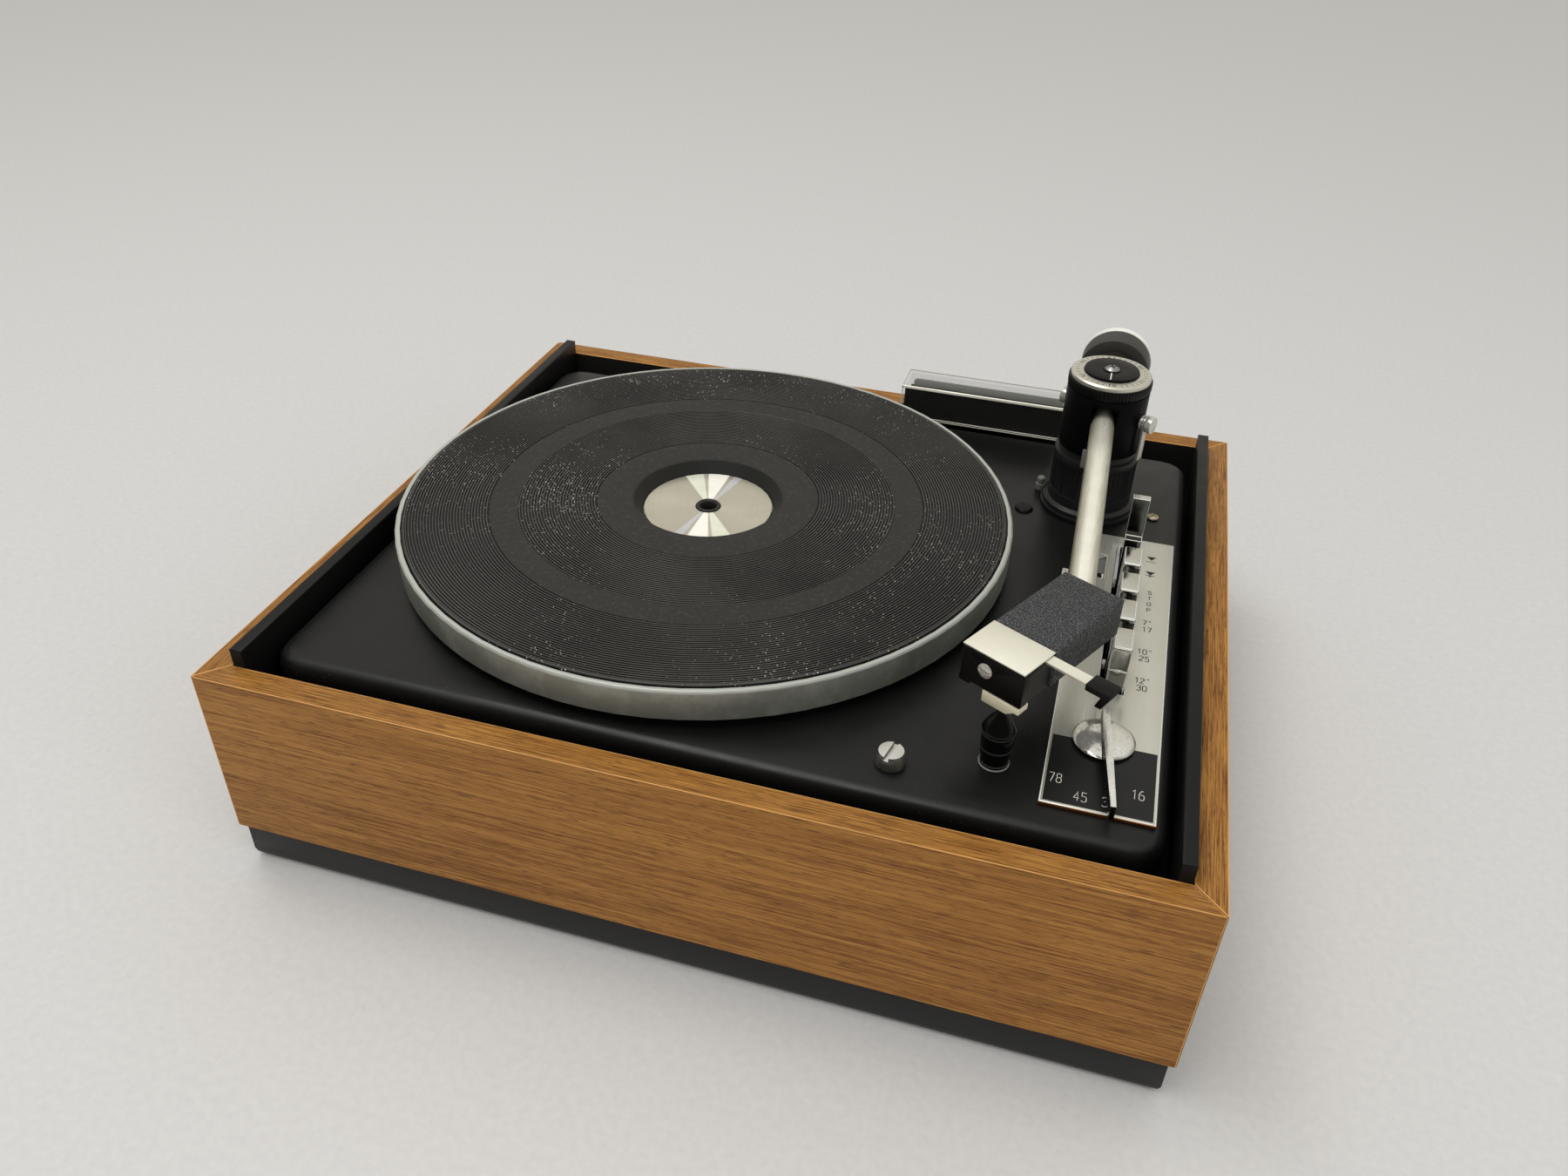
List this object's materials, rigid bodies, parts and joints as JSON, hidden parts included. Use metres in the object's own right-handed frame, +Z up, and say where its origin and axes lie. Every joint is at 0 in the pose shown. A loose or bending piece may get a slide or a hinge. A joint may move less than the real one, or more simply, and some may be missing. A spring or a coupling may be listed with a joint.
{
  "type": "record changer",
  "caption": "Automatic record changer on a sprung black chassis in a walnut-veneered plinth, with ribbed mat, tubular tone arm, push keys and speed lever.",
  "frame": {"origin": "middle of the plinth's footprint, on the surface it stands on", "axes": "+Z up, +X to the right with the controls, the front faces -Y"},
  "size_m": [0.42, 0.361, 0.1883],
  "materials": {
    "walnut": "satin walnut veneer, grain along each board",
    "base_black": "black stained wood",
    "panel_brown": "plain board",
    "chassis_black": "satin black paint",
    "satin_black": "satin black",
    "plastic_black": "black, fairly glossy",
    "rubber": "matt rubber",
    "aluminium": "turned aluminium",
    "brushed": "brushed silver",
    "chrome": "polished chrome",
    "steel": "plain steel",
    "champagne": "brushed along the tube, pale champagne",
    "crackle": "fine grey crackle paint",
    "ivory": "off-white",
    "clear": "clear, polished",
    "brass": "turned",
    "zinc": "zinc plated"
  },
  "bodies": {
    "plinth": {"plinth_front": "walnut", "plinth_back": "walnut", "plinth_left": "walnut", "plinth_right": "walnut", "plinth_base": "base_black", "bottom_panel": "panel_brown", "rail_left": "satin_black", "rail_right": "satin_black", "shelf_left": "panel_brown", "shelf_right": "panel_brown", "spring_front_left": "zinc", "spring_front_right": "zinc", "spring_back_left": "zinc", "spring_back_right": "zinc", "cable_gland": "plastic_black", "rear_bracket": "ivory", "spindle_tray": "satin_black"},
    "chassis": {"chassis_plate": "chassis_black", "control_plate": "brushed", "trim_screw": "steel", "hole_plug": "rubber", "rest_post": "plastic_black", "main_bearing": "steel", "motor": "steel", "tower_base": "satin_black", "key_frame": "satin_black"},
    "spindle_cover": {"spindle_cover": "clear"},
    "transit_screw": {"transit_screw": "chrome"},
    "platter": {"platter": "aluminium", "platter_mat": "rubber", "centre_disc": "aluminium", "spindle_bush": "plastic_black"},
    "cam_gear": {"cam_gear": "zinc"},
    "motor_pulley": {"motor_pulley": "brass"},
    "idler_arm": {"idler_arm": "steel"},
    "idler_wheel": {"idler_wheel": "rubber"},
    "speed_knob": {"speed_knob": "chrome"},
    "cue_lever": {"cue_lever": "chrome"},
    "key_stop": {"key_stop": "chrome"},
    "key_17": {"key_17": "chrome"},
    "key_25": {"key_25": "chrome"},
    "key_30": {"key_30": "chrome"},
    "turret": {"arm_turret": "satin_black", "dial_index": "satin_black", "dial_screw": "steel", "pivot_screw_left": "steel", "pivot_screw_right": "steel"},
    "dial_ring": {"dial_ring": "brushed"},
    "force_lever": {"force_lever": "steel"},
    "arm": {"arm_tube": "champagne", "weight_stub": "steel", "headshell": "crackle"},
    "counterweight": {"counterweight": "satin_black"},
    "carrier": {"cartridge_carrier": "plastic_black", "head_plate": "brushed", "carrier_screw": "steel", "cartridge": "ivory", "stylus_holder": "ivory", "finger_lift": "brushed", "finger_grip": "plastic_black"}
  },
  "joints": [
    {"name": "suspension_float", "type": "slide", "parent": "plinth", "child": "chassis", "axis": [0, 0, 1], "range_m": [-0.002, 0.002], "stiffness_N_per_m": 14000, "springref_m": 0.00363, "deforming": ["spring_front_left", "spring_front_right", "spring_back_left", "spring_back_right"]},
    {"name": "cover_hinge", "type": "hinge", "parent": "plinth", "child": "spindle_cover", "pos_m": [0.071, 0.1732, 0.1103], "axis": [-1, 0, 0], "range_deg": [0, 90]},
    {"name": "transit_turn", "type": "hinge", "parent": "chassis", "child": "transit_screw", "pos_m": [0.0817, -0.1405, 0.11], "axis": [0, 0, 1], "range_deg": [-360, 360]},
    {"name": "platter_spin", "type": "hinge", "parent": "chassis", "child": "platter", "pos_m": [-0.042, -0.0035, 0.12], "axis": [0, 0, 1], "continuous": true},
    {"name": "gear_turn", "type": "hinge", "parent": "chassis", "child": "cam_gear", "pos_m": [0.02675, -0.0035, 0.103], "axis": [0, 0, 1], "continuous": true},
    {"name": "motor_spin", "type": "hinge", "parent": "chassis", "child": "motor_pulley", "pos_m": [-0.12362, 0.05906, 0.115], "axis": [0, 0, 1], "continuous": true},
    {"name": "idler_swing", "type": "hinge", "parent": "chassis", "child": "idler_arm", "pos_m": [-0.1489, 0.11612, 0.103], "axis": [0, 0, 1], "range_deg": [0, 3]},
    {"name": "idler_spin", "type": "hinge", "parent": "idler_arm", "child": "idler_wheel", "pos_m": [-0.1277, 0.0822, 0.118], "axis": [0, 0, 1], "continuous": true},
    {"name": "speed_turn", "type": "hinge", "parent": "chassis", "child": "speed_knob", "pos_m": [0.1611, -0.1041, 0.112], "axis": [0, 0, 1], "range_deg": [-41, 21]},
    {"name": "cue_tilt", "type": "hinge", "parent": "chassis", "child": "cue_lever", "pos_m": [0.1627, 0.0384, 0.0935], "axis": [1, 0, 0], "range_deg": [0, 16]},
    {"name": "arm_swing", "type": "hinge", "parent": "chassis", "child": "turret", "pos_m": [0.138, 0.0855, 0.15], "axis": [0, 0, -1], "range_deg": [0, 44]},
    {"name": "dial_turn", "type": "hinge", "parent": "turret", "child": "dial_ring", "pos_m": [0.138, 0.0855, 0.181], "axis": [0, 0, 1], "range_deg": [-90, 180]},
    {"name": "force_turn", "type": "hinge", "parent": "turret", "child": "force_lever", "pos_m": [0.15802, 0.07614, 0.1652], "axis": [-0.9059, 0.4234, 0], "range_deg": [-30, 30]},
    {"name": "arm_lift", "type": "hinge", "parent": "turret", "child": "arm", "pos_m": [0.138, 0.0855, 0.1652], "axis": [-0.9059, 0.4234, 0], "range_deg": [0, 8]},
    {"name": "weight_slide", "type": "slide", "parent": "arm", "child": "counterweight", "axis": [0.0428, 0.9961, 0.0766], "range_m": [-0.01, 0.006]},
    {"name": "carrier_slide", "type": "slide", "parent": "arm", "child": "carrier", "axis": [-0.4648, -0.8854, 0], "range_m": [0, 0.004]},
    {"name": "key_stop_press", "type": "slide", "parent": "chassis", "child": "key_stop", "axis": [0, 0, -1], "range_m": [0, 0.004], "stiffness_N_per_m": 250, "springref_m": -0.002},
    {"name": "key_17_press", "type": "slide", "parent": "chassis", "child": "key_17", "axis": [0, 0, -1], "range_m": [0, 0.004], "stiffness_N_per_m": 250, "springref_m": -0.002},
    {"name": "key_25_press", "type": "slide", "parent": "chassis", "child": "key_25", "axis": [0, 0, -1], "range_m": [0, 0.004], "stiffness_N_per_m": 250, "springref_m": -0.002},
    {"name": "key_30_press", "type": "slide", "parent": "chassis", "child": "key_30", "axis": [0, 0, -1], "range_m": [0, 0.004], "stiffness_N_per_m": 250, "springref_m": -0.002}
  ],
  "couplings": [
    {"joint": "gear_turn", "follows": "platter_spin", "ratio": -0.25},
    {"joint": "idler_spin", "follows": "platter_spin", "ratio": 7.075},
    {"joint": "motor_spin", "follows": "platter_spin", "ratio": -44.219}
  ]
}
